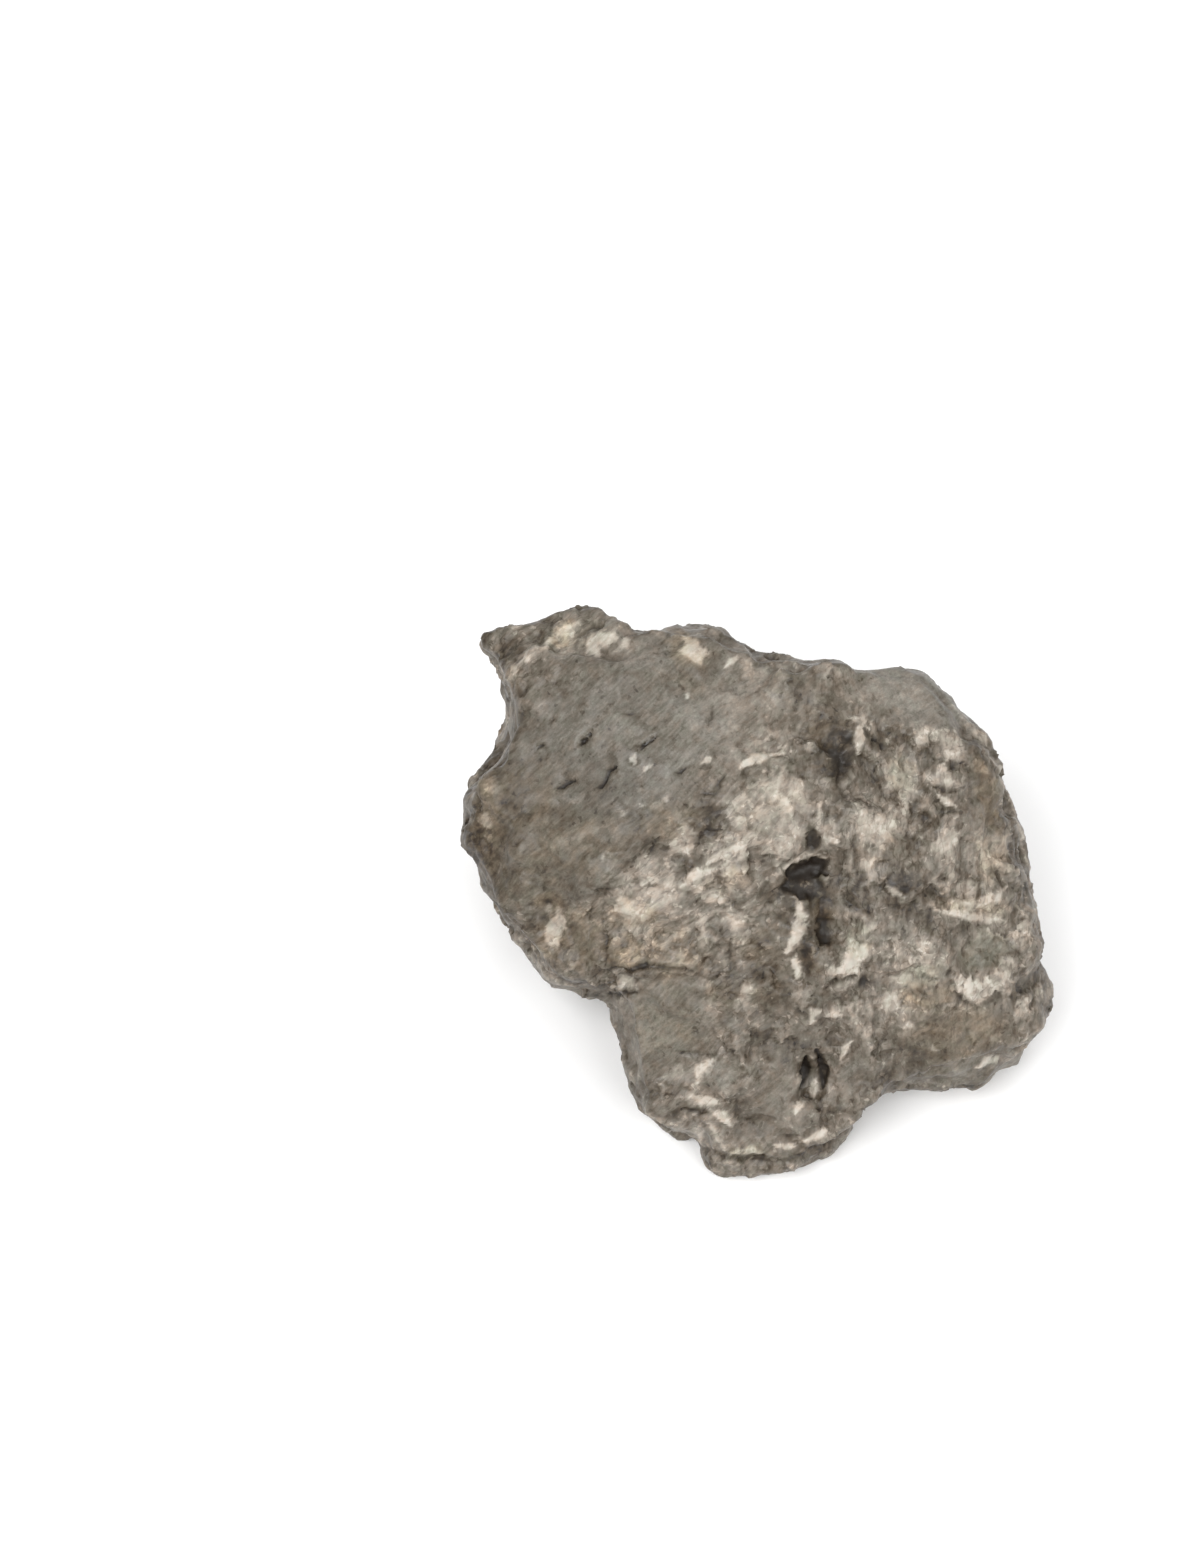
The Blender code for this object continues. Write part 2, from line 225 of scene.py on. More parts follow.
hollows = [
    (7.0, 3.0, 2.9, 1.5, 25, 1.15),  # the recess in the middle
    (5.0, 0.6, 2.4, 1.0, 20, 0.9),
    (6.9, -0.2, 2.0, 1.5, 0, 0.9),
    (9.0, 1.4, 1.8, 1.6, 0, 0.7),
    (8.8, -0.8, 2.2, 2.2, 0, 0.5),
    (10.6, -2.6, 1.1, 2.4, 0, 0.45),  # the gully below it
    (9.4, -4.6, 1.3, 1.6, 0, 0.5),
    (10.1, -7.4, 1.1, 1.8, 15, 0.35),
    (7.2, -9.2, 1.2, 1.5, 0, 0.75),
    (8.2, -11.8, 1.7, 1.4, 0, 0.5),
    (12.2, 19.6, 1.7, 4.0, 12, 0.65),  # under the shoulder
    (13.2, 23.6, 1.2, 1.4, 0, 0.7),
    (17.8, 22.9, 1.3, 1.0, 0, 0.95),
    (-7.9, 11.0, 2.4, 0.7, 75, 0.5),
    (-10.8, 4.2, 1.6, 0.5, 15, 0.45),
    (-2.6, 18.6, 1.0, 0.6, 60, 0.5),
    (5.4, 19.8, 1.0, 0.7, 0, 0.5),
    (22.4, 0.4, 1.2, 1.1, 0, 0.7),
    (15.6, 1.2, 0.6, 1.2, 0, 0.6),
    (25.3, 11.6, 1.0, 0.5, 20, 0.5),
    (28.4, 2.3, 0.8, 0.7, 0, 0.8),
    (16.4, -14.4, 1.1, 0.6, 45, 0.7),
    (29.8, -13.0, 0.45, 0.9, 0, 0.9),
    (-33.6, -2.2, 0.6, 0.6, 0, 0.7),
    (-35.8, -2.4, 0.4, 0.4, 0, 0.7),
    (-17.3, 7.4, 0.5, 0.5, 0, 0.6),
    (-24.0, 0.0, 0.5, 1.0, -15, 0.6),
]

# Broad zones that are paler or darker than the rest
tonalZones = [
    (-30.0, 10.0, 13, 8, 20, -0.05),
    (-42.0, 12.0, 5, 10, 0, -0.09),
    (-44.0, 6.0, 2.4, 6, 0, -0.14),
    (-41.0, -1.0, 2.6, 3, 0, -0.12),
    (-36.5, 23.5, 4, 5, 0, -0.12),
    (-39.0, -1.0, 4, 4, 0, -0.08),
    (-30.0, 0.0, 3, 3, 0, -0.08),
    (-27.2, -1.0, 2.4, 2, 0, -0.08),
    (-29.0, -10.0, 3, 4, 0, -0.05),
    (-19.0, 13.0, 6, 4, 0, -0.02),
    (-5.0, 24.0, 7, 7, 0, 0.07),
    (-18.0, 37.0, 7, 3, -10, 0.07),
    (-1.0, 32.0, 4, 3.5, 0, 0.10),
    (6.0, 29.5, 5, 4, 0, -0.09),
    (19.0, 31.0, 9, 3.5, -10, 0.11),
    (-20.0, -4.0, 6, 5, 0, 0.08),
    (-13.5, -8.5, 5, 3.5, 10, 0.19),
    (-7.0, -4.0, 4.0, 2.4, 10, 0.10),
    (-5.0, -2.0, 4.5, 3.5, 20, 0.14),
    (-13.0, 3.4, 1.4, 1.0, 40, -0.06),
    (1.0, 1.0, 2.0, 2.4, 0, -0.13),
    (18.0, 8.0, 5, 6, 0, 0.05),
    (14.5, 12.5, 1.4, 2.4, 0, -0.10),
    (14.7, 1.6, 1.4, 2.4, 0, -0.10),
    (29.4, 11.6, 2.0, 3.0, 0, -0.14),
    (28.2, 15.2, 1.6, 1.2, 0, -0.10),
    (32.8, 14.0, 2.0, 3.0, 0, 0.10),
    (34.8, 23.0, 1.8, 4.5, 25, -0.12),
    (36.0, 2.0, 5, 7, 0, 0.06),
    (31.8, 5.6, 1.6, 2.2, 0, 0.07),
    (39.0, -5.5, 3.5, 3.0, 0, 0.14),
    (28.2, -4.8, 2.2, 1.6, 0, -0.13),
    (20.0, -9.0, 7, 4, 20, 0.06),
    (21.4, -7.0, 1.6, 1.6, 0, -0.10),
    (15.5, -8.5, 2.5, 4, 0, 0.10),
    (24.6, -12.8, 4.5, 2.4, 0, 0.12),
    (15.6, -15.4, 2.2, 1.5, 40, -0.20),
    (16.0, -19.0, 4.5, 2.8, 0, 0.13),
    (26.0, -17.4, 2.4, 1.4, 0, -0.09),
    (22.0, -1.0, 3.2, 3, 0, -0.12),
    (1.0, -10.0, 5, 5, 0, -0.10),
    (-8.3, -14.9, 3.0, 2.2, 0, -0.13),
    (5.0, -24.0, 4, 3.5, 0, -0.06),
    (-4.0, -39.5, 8, 3.2, 0, 0.07),
    (5.4, -37.4, 3.2, 1.4, 10, -0.10),
    (-10.0, -33.6, 3.5, 2.2, 0, 0.12),
    (-32.0, -5.0, 3, 4, 0, 0.04),
    (-13.0, -24.0, 8, 9, 0, 0.04),
    (9.2, -4.0, 3.2, 8, 0, -0.11),
    (13.6, 21.0, 3.2, 5.5, 12, -0.12),
    (25.4, 11.4, 2.0, 1.2, -10, -0.06),
    (2.3, -16.4, 2.4, 2.8, 0, -0.16),
    (0.2, -23.8, 1.5, 1.7, 0, -0.12),
    (24.2, -26.9, 3.2, 2.0, 10, -0.14),
    (9.0, 26.4, 1.4, 1.2, 0, -0.06),
    (7.4, 21.4, 1.6, 2.4, 0, 0.10),
    (-14.0, -32.0, 1.2, 1.6, 0, -0.14),
    (-8.0, 11.0, 2.2, 3.4, -28, -0.10),
    (37.0, -8.0, 4.5, 3.5, 0, 0.05),
    (35.0, 8.4, 1.8, 2.4, 0, 0.09),
    (27.0, -14.2, 1.8, 1.2, 0, 0.09),
    (15.8, 18.2, 2.0, 1.8, 0, 0.14),
    (38.4, 0.2, 1.8, 1.8, 0, 0.08),
    (1.2, 12.0, 1.8, 1.8, 0, -0.09),
    (18.6, -10.4, 1.8, 1.6, 0, 0.08),
    (-1.8, 14.8, 1.8, 2.0, 0, 0.08),
    (22.4, 5.9, 1.8, 2.2, 0, 0.08),
    (5.6, -32.0, 1.6, 2.4, 0, 0.14),
    (12.0, -23.2, 1.6, 2.8, 0, 0.08),
    (-21.8, 5.2, 1.8, 1.6, 20, 0.08),
    (-29.4, 38.0, 3.4, 1.6, 0, 0.07),
    (-9.0, -38.4, 2.6, 2.6, 0, 0.08),
    (-21.5, 17.2, 2.2, 2.0, 0, -0.06),
    (5.8, -16.4, 1.8, 2.2, 0, -0.07),
    (-36.2, 1.8, 2.6, 2.2, 0, -0.07),
    (38.2, 4.6, 1.8, 1.8, 0, -0.07),
    (6.6, 19.2, 1.8, 1.6, 0, 0.07),
    (-32.6, 24.2, 2.6, 2.2, 0, -0.05),
    (22.6, -22.6, 2.4, 1.8, 0, -0.07),
    (42.6, -8.2, 1.8, 2.6, 0, -0.07),
    (5.0, 33.6, 3.4, 1.6, 0, 0.06),
    (-1.6, 27.0, 2.6, 2.0, 0, 0.05),
    (25.0, 9.4, 1.8, 1.8, 0, 0.08),
    (27.2, -7.2, 1.8, 1.6, 0, 0.09),
    (39.2, -4.2, 1.8, 1.6, 0, 0.06),
    (-14.0, 5.2, 1.6, 1.4, 40, 0.08),
    (-4.8, -39.0, 2.4, 1.6, 0, -0.09),
    (-15.8, 14.2, 2.4, 1.8, 0, -0.07),
    (-25.6, 15.3, 2.2, 2.0, 0, -0.07),
    (-10.9, 5.3, 1.6, 1.6, 0, 0.09),
    (10.8, -24.4, 1.4, 2.0, 0, 0.08),
    (-16.5, -2.5, 1.8, 1.4, 0, -0.07),
    (-17.9, 4.0, 1.6, 1.4, 20, -0.07),
    (-21.0, 19.8, 4.5, 4.5, 30, -0.05),
    (9.8, 9.2, 1.6, 1.4, 0, 0.10),
    (31.0, 5.6, 1.6, 1.6, 0, 0.05),
    (-12.8, 11.4, 2.0, 1.8, 0, -0.06),
    (-12.3, 34.9, 2.4, 1.8, 0, -0.06),
    (12.6, 26.7, 1.8, 1.2, 0, -0.08),
    (2.4, 17.6, 1.8, 1.4, 0, 0.06),
    (17.3, -11.1, 1.8, 1.6, 0, 0.06),
]

brownStains = [
    (-31.0, 6.0, 11, 6, 20, 0.55),
    (-33.0, -2.0, 2.4, 1.8, 0, 1.1),
    (-27.5, -7.7, 3.4, 4.8, 0, 0.8),
    (-21.5, -9.5, 3.8, 3.0, 0, 1.1),
    (35.6, 14.5, 1.8, 6.5, 16, 1.0),
    (36.4, 4.6, 3.0, 5.0, 5, 0.6),
    (34.0, -2.4, 6.0, 2.2, -8, 0.7),
    (31.0, -22.0, 8.0, 4.4, 8, 0.8),
    (26.0, -16.5, 5.0, 2.0, 8, 0.7),
    (6.0, 30.5, 5.0, 3.0, -20, 0.4),
    (-11.0, 37.4, 3.8, 2.6, -25, 1.0),
    (-11.0, 32.0, 2.4, 3.6, 0, 0.5),
    (10.4, 25.0, 3.4, 3.4, 0, 0.6),
    (-42.5, 10.0, 3.0, 9.0, 0, 0.9),
    (-40.0, 34.0, 3.0, 5.0, 20, 0.5),
    (0.0, -10.0, 5.0, 6.0, 0, 0.45),
    (-3.0, -16.0, 5.0, 3.0, 0, 0.6),
    (-20.0, -3.4, 4.4, 2.6, 5, 0.8),
    (18.0, 8.0, 3.6, 5.0, 0, 0.5),
    (-14.0, -10.0, 6.5, 4.5, 10, 0.6),
    (-36.0, 14.0, 5.0, 7.0, 0, 0.6),
    (-14.0, 11.0, 6.0, 3.0, 20, 0.5),
    (9.8, -2.6, 1.8, 3.0, 0, 0.9),
    (8.0, -11.0, 2.0, 2.0, 0, 0.8),
    (-32.0, -7.0, 3.4, 5.0, 0, 0.8),
    (-14.0, -20.0, 6.0, 6.0, 0, 0.45),
    (4.6, 13.4, 3.2, 3.0, 0, 0.5),
    (-4.8, 1.4, 4.4, 2.0, 15, 0.8),
    (-31.0, 40.0, 2.6, 1.4, 50, 0.8),
]

greenGreyFaces = [
    (35.2, -9.6, 4.0, 3.0, 10, 1.1),
    (-14.5, -21.0, 8, 7, 80, 0.5),
    (0.0, 15.0, 4.0, 10.0, 0, 0.5),
    (22.2, 18.0, 2.6, 4.0, 5, 0.8),
    (-29.0, 40.0, 9.0, 3.0, 10, 0.6),
    (-2.0, -41.0, 4.0, 1.2, 5, 0.9),
    (12.0, 20.0, 2.5, 4.5, 12, 0.5),
    (4.0, 20.0, 4.5, 2.0, 20, 0.5),
    (30.0, -29.0, 8, 2.0, 8, 0.6),
    (25.4, -13.4, 4.2, 2.0, 8, 0.9),
    (15.4, -7.6, 2.2, 3.4, 0, 0.8),
    (-2.8, 12.6, 2.2, 3.2, 0, 0.5),
]

# Lines: half width, strength, and the points that they run through
# Pale lines: raised edges and veins; the paler colour is partly painted highlight along edges that catch
# the light
paleLines = [
    (0.50, 1.1, [(-8.0, 4.4), (-5.2, 5.9), (-2.6, 7.0)]),
    (0.45, 1.1, [(-12.5, 0.7), (-9.5, 2.4), (-6.5, 3.6)]),
    (0.50, 1.0, [(-23.0, -3.2), (-20.5, -3.4), (-18.0, -3.0)]),
    (0.32, 1.1, [(3.6, 2.8), (4.8, 4.2), (6.8, 5.2), (8.4, 5.4), (10.2, 5.0)]),  # over the recess
    (0.60, 1.3, [(5.6, -1.0), (6.1, -4.4), (5.6, -7.0), (4.2, -9.4)]),  # left of the gully
    (0.45, 1.2, [(5.3, -10.4), (5.6, -12.0), (5.8, -13.6)]),
    (0.36, 0.85, [(13.8, 26.8), (15.2, 26.4), (16.8, 25.0)]),  # the hook under the shoulder
    (0.36, 1.2, [(15.3, 25.6), (15.0, 23.4), (15.2, 21.2)]),
    (0.45, 1.2, [(-3.1, 19.4), (-0.4, 20.3), (3.6, 21.1)]),
    (0.40, 1.2, [(27.6, 14.8), (29.0, 13.9), (30.4, 13.2)]),
    (0.35, 1.2, [(19.6, 0.6), (20.8, -0.4), (22.2, -1.0)]),
    (0.40, 0.8, [(29.4, -1.8), (34.0, -2.0), (37.0, -1.0), (38.8, 0.8)]),
    (0.40, 0.9, [(27.5, -3.2), (33.0, -4.2), (38.5, -4.8)]),
    (0.36, 0.7, [(26.4, 6.0), (28.2, 8.4), (30.0, 10.2), (30.5, 11.6)]),
    (0.50, 0.7, [(30.2, -13.4), (31.4, -15.8), (34.2, -16.8), (37.2, -14.4), (40.2, -11.4)]),
    (0.30, 1.1, [(31.4, -13.4), (31.2, -15.6)]),
    (0.30, 1.1, [(32.7, -13.2), (32.4, -16.0)]),
    (0.30, 1.1, [(34.0, -13.0), (33.7, -16.6)]),
    (0.30, 1.1, [(35.3, -13.2), (35.0, -16.4)]),
    (0.30, 1.1, [(36.8, -12.2), (37.3, -13.6)]),
    (0.50, 1.1, [(13.0, -12.2), (14.4, -10.6), (16.2, -8.6)]),
    (0.35, 1.0, [(12.6, -26.6), (13.4, -24.8), (14.4, -23.6)]),
    (0.35, 0.9, [(8.0, -20.6), (8.4, -19.2), (9.6, -18.8)]),
    (0.40, 1.1, [(-7.7, -34.2), (-6.2, -35.4), (-4.6, -36.8)]),
    (0.36, 1.1, [(10.6, -37.0), (8.8, -38.2), (6.8, -38.9)]),
    (0.32, 1.0, [(5.6, -39.7), (4.0, -39.8), (2.4, -39.5)]),
    (0.36, 0.8, [(-4.7, -41.2), (-2.0, -40.8), (0.6, -41.0)]),
    (0.35, 0.9, [(33.8, -27.4), (35.6, -26.6), (37.4, -26.2)]),
    (0.46, 1.0, [(-7.4, -26.2), (-9.4, -27.8), (-9.8, -29.8)]),
    (0.45, 0.8, [(-33.6, 37.8), (-31.0, 40.0), (-28.4, 41.4)]),
    (0.40, 0.8, [(-27.0, 38.6), (-25.4, 39.6), (-22.4, 39.8)]),
    (0.36, 0.6, [(-37.4, 35.0), (-35.6, 37.0), (-34.6, 39.0)]),
    (0.35, 1.0, [(-5.2, 35.0), (-3.6, 36.3)]),
    # a painted highlight along the right edge
    (0.30, 0.6, [(29.8, 28.9), (32.7, 25.7), (36.2, 20.4), (38.4, 15.5), (42.4, 2.4)]),
    (0.30, 0.7, [(-8.6, -35.8), (-6.6, -38.2), (-5.6, -40.4)]),
    (0.30, 0.6, [(-10.0, -36.0), (-9.0, -39.2)]),
    (0.34, 0.9, [(8.4, 10.2), (9.4, 12.2), (9.6, 14.0)]),
    (0.30, 1.3, [(8.4, -29.6), (8.2, -31.2), (8.1, -32.4)]),  # a painted highlight below the twin pits
    (0.24, 0.9, [(6.4, -32.8), (5.9, -33.8), (5.4, -34.8)]),
]

# Narrow pits: sunk in, and darkened in colour as painted shade
slots = [
    (0.32, 1.1, [(7.1, -25.6), (6.9, -28.3), (6.6, -30.8)]),  # the twin pits
    (0.44, 1.15, [(9.1, -25.2), (9.8, -28.0), (9.6, -30.6)]),
    (0.60, 0.42, [(8.2, 9.6), (7.7, 7.4), (7.2, 5.6)]),  # above the recess
    (0.36, 0.5, [(8.6, -0.8), (10.1, -4.9), (9.8, -8.1), (8.8, -9.8)]),  # along the gully
]

# Cracks: sunk in, and darker in colour along them as painted shade
cracks = [
    (0.30, 0.3, [(-20.0, 2.2), (-17.5, 4.4), (-14.6, 6.6)]),  # along the table's edge
    (0.30, 0.4, [(-9.8, 6.4), (-9.4, 8.6), (-8.4, 9.6)]),
    (0.30, 0.5, [(-9.2, 15.0), (-7.0, 15.2), (-5.4, 17.4)]),
    (0.34, 0.6, [(-24.0, -12.7), (-20.4, -12.4), (-17.7, -11.7), (-14.0, -12.4), (-10.4, -12.4)]),
    (0.30, 0.6, [(-23.6, -16.2), (-19.2, -16.0)]),
    (0.30, 0.5, [(-24.6, -4.5), (-24.0, -8.0), (-24.4, -11.8)]),
    (0.40, 0.7, [(27.0, 20.3), (29.6, 19.6), (32.4, 19.9)]),
    (0.32, 0.6, [(27.0, 16.4), (29.0, 15.4), (31.4, 15.8)]),
    (0.34, 0.7, [(-12.1, -34.4), (-9.6, -34.6), (-7.3, -34.3)]),
    (0.26, 0.4, [(-13.2, -25.4), (-6.5, -25.6)]),
    (0.26, 0.5, [(-4.4, -7.2), (-5.3, -9.4), (-4.5, -11.4), (-5.1, -13.6)]),
    (0.26, 0.5, [(-7.0, -2.6), (-5.6, -2.6), (-4.0, -2.2)]),
    (0.22, 0.9, [(-18.9, 21.8), (-17.9, 22.9), (-16.2, 24.2)]),  # on the table
    (0.19, 0.8, [(-28.4, 22.4), (-27.4, 23.4), (-25.9, 25.2)]),
    (0.17, 0.8, [(-31.6, 16.0), (-28.6, 17.1)]),
    (0.19, 0.9, [(-26.2, 15.8), (-24.7, 16.2), (-23.8, 18.2), (-22.4, 19.6)]),
    (0.17, 0.6, [(-35.1, 21.8), (-33.9, 22.6)]),
    (0.17, 0.5, [(-32.8, 25.7), (-32.0, 27.3)]),
    (0.15, 0.6, [(-22.2, 27.3), (-18.3, 27.5)]),
    (0.18, 0.6, [(-7.4, 28.5), (-7.8, 26.1)]),
    (0.18, 0.6, [(-13.6, 18.4), (-12.4, 18.7), (-11.3, 19.4)]),
    (0.18, 0.7, [(-7.2, 16.0), (-5.4, 17.9)]),
    (0.18, 0.6, [(-16.9, 5.8), (-15.4, 8.2)]),
    (0.32, 0.5, [(-14.8, -37.0), (-6.0, -41.6), (4.0, -42.4), (11.0, -39.4)]),  # the banding of the tip
    (0.30, 0.6, [(10.0, -15.6), (12.4, -14.0), (14.8, -13.2)]),
    (0.30, 0.5, [(16.4, 1.8), (16.6, -2.2), (17.4, -5.0)]),
    (0.28, 0.5, [(30.4, -15.6), (31.8, -17.4), (34.0, -18.2)]),
    (0.26, 0.5, [(0.4, 5.4), (2.6, 4.8), (4.2, 4.9)]),
    (0.26, 0.5, [(36.4, 4.0), (37.4, 2.6), (38.0, 1.4)]),
    (0.22, 0.5, [(14.4, 12.6), (14.9, 9.0), (14.6, 5.0), (15.2, 2.4)]),
]

ragged = [(2.4, 1.0), (0.8, 0.5)]  # how the patches' borders wander: size of the bends and their reach

# Patches on the sides that don't show: their size, and the noise level that they start at
hiddenSides = {
    "smooth": (16, -0.1),
    "filmAndSheen": (7, 0.32),
    "hollows": (5, 0.62),
    "brown": (11, 0.2),
    "greenGrey": (12, 0.3),
}


def eased(amount):
    amount = np.clip(amount, 0, 1)
    return amount * amount * (3 - 2 * amount)


# One value a point, from about -1 to 1. A number added to the points makes one noise differ from the next.
def noiseAt(points, octaves=1):
    if octaves == 1:
        return np.array([noise.noise(p) for p in points.tolist()])
    return np.array([noise.fractal(p, 1.0, 2.0, octaves) for p in points.tolist()])


def hashed(cells, seed):  # a value from 0 to 1 that is the same all over a cell
    mixed = np.sin(np.round(cells, 3) @ np.array((12.9898, 78.233, 37.719)) + seed) * 43758.5453
    return mixed - np.floor(mixed)


# The height of flat faces that cut into each other, and a value that is each face's own
def flakesAt(points, size, seed):
    nearest = np.array([noise.voronoi(p)[1] for p in (points / size).tolist()])
    tilt = np.stack([hashed(nearest, seed + k) - 0.5 for k in range(3)], axis=2)
    heights = ((points[:, None] / size - nearest) * tilt).sum(axis=2) * size
    lowest = heights.argmin(axis=1)
    each = np.arange(len(points))
    height = heights[each, lowest]
    return height - height.mean(), hashed(nearest[each, lowest], seed + 3)


def layersAt(points, thickness, length):  # how far broken layers stand out, from -0.5 to 0.5
    wander = noiseAt(points / 12 + 70)
    level = (points[:, 2] + 0.15 * points[:, 1]) / thickness + 1.2 * wander + 0.3 * noiseAt(points / 3 + 80)
    block = (points[:, 0] - 0.7 * points[:, 1]) / length + 0.5 * noiseAt(points / 6 + 90)
    ends = []
    for further in (0, 1):
        layer = np.floor(level) + further
        bond = np.floor(block + 0.37 * layer)
        ends.append(hashed(np.stack((layer, bond, layer * 0), axis=1), 5))
    change = eased((level - np.floor(level) - 0.75) / 0.25)
    return ends[0] + (ends[1] - ends[0]) * change - 0.5


# How strongly each point lies in any of the patches, or in all of them together
def patchesAt(seen, places, softness=1.0, summed=False):
    strongest = np.zeros(len(seen))
    for x, y, halfLength, halfWidth, degrees, strength in places:
        turn = math.radians(degrees)
        dx, dy = seen[:, 0] - x, seen[:, 1] - y
        along = (dx * math.cos(turn) + dy * math.sin(turn)) / halfLength
        across = (dy * math.cos(turn) - dx * math.sin(turn)) / halfWidth
        here = strength * eased((1 - np.hypot(along, across)) / softness + 0.5)
        strongest = strongest + here if summed else np.maximum(strongest, here)
    return strongest


# The same for lines, which taper, break up and fall off more abruptly on the right of their run
def linesAt(seen, places, breaks):
    strongest = np.zeros(len(seen))
    for halfWidth, strength, route in places:
        nearest = np.full(len(seen), 1e9)
        taper = np.zeros(len(seen))
        pieces = len(route) - 1
        for number, (start, end) in enumerate(zip(route, route[1:])):
            start, end = np.array(start), np.array(end)
            run = end - start
            away = seen - start
            along = np.clip(away @ run / (run @ run), 0, 1)
            side = run[0] * away[:, 1] - run[1] * away[:, 0]
            distance = np.linalg.norm(away - along[:, None] * run, axis=1) / np.where(side > 0, 1.7, 1)
            closer = distance < nearest
            nearest = np.where(closer, distance, nearest)
            taper = np.where(closer, 1 - np.abs(2 * (along + number) / pieces - 1), taper)
        width = halfWidth * (0.4 + 0.9 * taper) * (1 + 0.5 * breaks)
        strongest = np.maximum(strongest, strength * np.clip(1.6 - nearest / width, 0, 1))
    return strongest


def stretched(points, degrees, width, length):  # the plane turned, and drawn out along the grain
    turn = math.radians(degrees)
    along = points[:, 0] * math.cos(turn) + points[:, 1] * math.sin(turn)
    across = points[:, 1] * math.cos(turn) - points[:, 0] * math.sin(turn)
    return np.stack((along / length, across / width, points[:, 2] / width), axis=1)


def fineLump():
    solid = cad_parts["coal_lump"]
    shape = bmesh.new()
    shape.from_mesh(solid.data)
    bmesh.ops.remove_doubles(shape, verts=shape.verts[:], dist=lump["weld"] * mm)
    mesh = bpy.data.meshes.new("coal")
    shape.to_mesh(mesh)
    shape.free()
    piece = bpy.data.objects.new("coal", mesh)
    bpy.context.scene.collection.objects.link(piece)
    resample = piece.modifiers.new("resample", "REMESH")
    resample.mode = "VOXEL"
    resample.voxel_size = lump["pointSpacing"] * mm
    worn = piece.modifiers.new("worn", "SMOOTH")
    worn.iterations = lump["smoothing"]
    fine = bpy.data.meshes.new_from_object(piece.evaluated_get(bpy.context.evaluated_depsgraph_get()))
    piece.modifiers.clear()
    piece.data = fine
    print("fine mesh:", len(fine.vertices), "points")
    return piece


def values(mesh, name):
    found = np.empty(len(mesh.vertices) * 3, np.float32)
    mesh.vertices.foreach_get(name, found)
    return found.reshape(-1, 3).astype(float)


# Where each point shows in the plane, as the camera sees it: for the lines, and for the ragged patches
def asSeen(points):
    middle = np.array(shot["pictureMiddle"])
    near = shot["distance"] / (shot["distance"] - points[:, 2])
    drawn = middle + (points[:, :2] - middle) * near[:, None]
    seen = drawn
    for number, (size, reach) in enumerate(ragged):
        bends = [noiseAt(points / size + number * 40 + k * 17) for k in range(2)]
        seen = seen + reach * np.stack(bends, axis=1)
    share = lump["lineWander"]
    return drawn * (1 - share) + seen * share, seen


# How strong each kind of marking is at each point
def markingsOn(points, drawn, seen, shown):
    hidden = 1 - shown

    def both(places, kind, softness=1):  # the placed patches, and on the hidden sides some like them
        size, level = hiddenSides[kind]
        elsewhere = eased((noiseAt(points / size + level * 90, 3) - level) * 3)
        return shown * patchesAt(seen, places, softness) + hidden * elsewhere

    breaks = np.clip(noiseAt(points / 0.9 + 60, 2), -0.9, 0.9)
    ridges = shown * linesAt(drawn, paleLines, breaks)
    gaps = shown * np.minimum(linesAt(drawn, slots, 0.5 * breaks), 1.3)
    size, strength = lump["hiddenTones"]
    tones = shown * patchesAt(seen, tonalZones, softness=1.3, summed=True)
    return {
        "calm": np.clip(both(smoothFaces, "smooth"), 0, 1),
        "ridges": ridges,
        "pale": np.maximum(both(paleFilmAndSheen, "filmAndSheen"), ridges),
        # dark: painted shade in the hollows and the narrow pits
        "dark": np.maximum(both(hollows, "hollows", softness=2.2), gaps),
        "zone": 0.5 + tones + hidden * strength * noiseAt(points / size + 5),
        "brown": both(brownStains, "brown"),
        "green": both(greenGreyFaces, "greenGrey"),
        "crack": shown * linesAt(drawn, cracks, breaks),
    }


# How far each point stands out, and a value that is each facet's own
def reliefOn(points, facing, drawn, shown, marks):
    pale, dark = marks["pale"], marks["dark"]
    rim = 1 - eased(np.abs(facing[:, 2]) * 2.5)
    rough = (1 - 0.85 * marks["calm"]) * (1 - 0.35 * np.minimum(pale, 1))
    rough *= 1 - 0.7 * rim  # smooth faces, film and rims are gentler than the rest

    size, reach = lump["crook"]
    crooked = points + reach * np.stack([noiseAt(points / size + k * 31) for k in range(3)], axis=1)
    start, end = lump["grainTurns"]
    upright = eased((drawn[:, 0] - start) / (end - start))

    def grained(width, length, sample):  # a noise that follows the grain
        leaning = sample(stretched(crooked, lump["leaningGrain"], width, length))
        standing = sample(stretched(crooked, lump["uprightGrain"], width, length))
        return leaning + upright * (standing - leaning)

    size, height = lump["swell"]
    raised = height * noiseAt(points / size, 4) * rough
    facets = 0
    for name, seed, share in (("flakes", 7, 0.6), ("chips", 11, 0.4)):
        size, tilt = lump[name]
        height, own = flakesAt(crooked, size, seed)
        raised += tilt * height * rough
        facets = facets + share * own
    width, length, tilt = lump["slivers"]
    slivers = grained(width, length, lambda at: flakesAt(at, 1, 3)[0])
    raised += tilt * width * slivers * rough * (1 - 0.7 * rim * shown)
    width, length, height = lump["striae"]
    striae = grained(width, length, noiseAt)
    raised += height * striae * (0.3 + 0.7 * rough) * (1 - 0.8 * rim * shown)
    size, height = lump["grain"]
    raised += height * noiseAt(points / size, 2) * (0.6 + 0.4 * rough)
    sides = eased(1.2 - 1.8 * np.abs(facing[:, 2])) * (1 - 0.5 * shown)
    for name in ("layers", "laminae"):
        thickness, length, height = lump[name]
        step = layersAt(points, thickness, length)
        raised += height * step * sides
        facets = facets + (step + 0.5 - facets) * 0.5 * sides
    depths = lump["hollowDepth"] * dark ** 1.5
    raised += lump["ridge"] * marks["ridges"] - depths - lump["crackDepth"] * marks["crack"]
    size, height = lump["rubble"]
    raised += height * noiseAt(points / size + 25, 2) * np.minimum(dark, 1)
    raised -= lump["filmDepth"] * pale * (0.5 + striae)
    return raised, facets


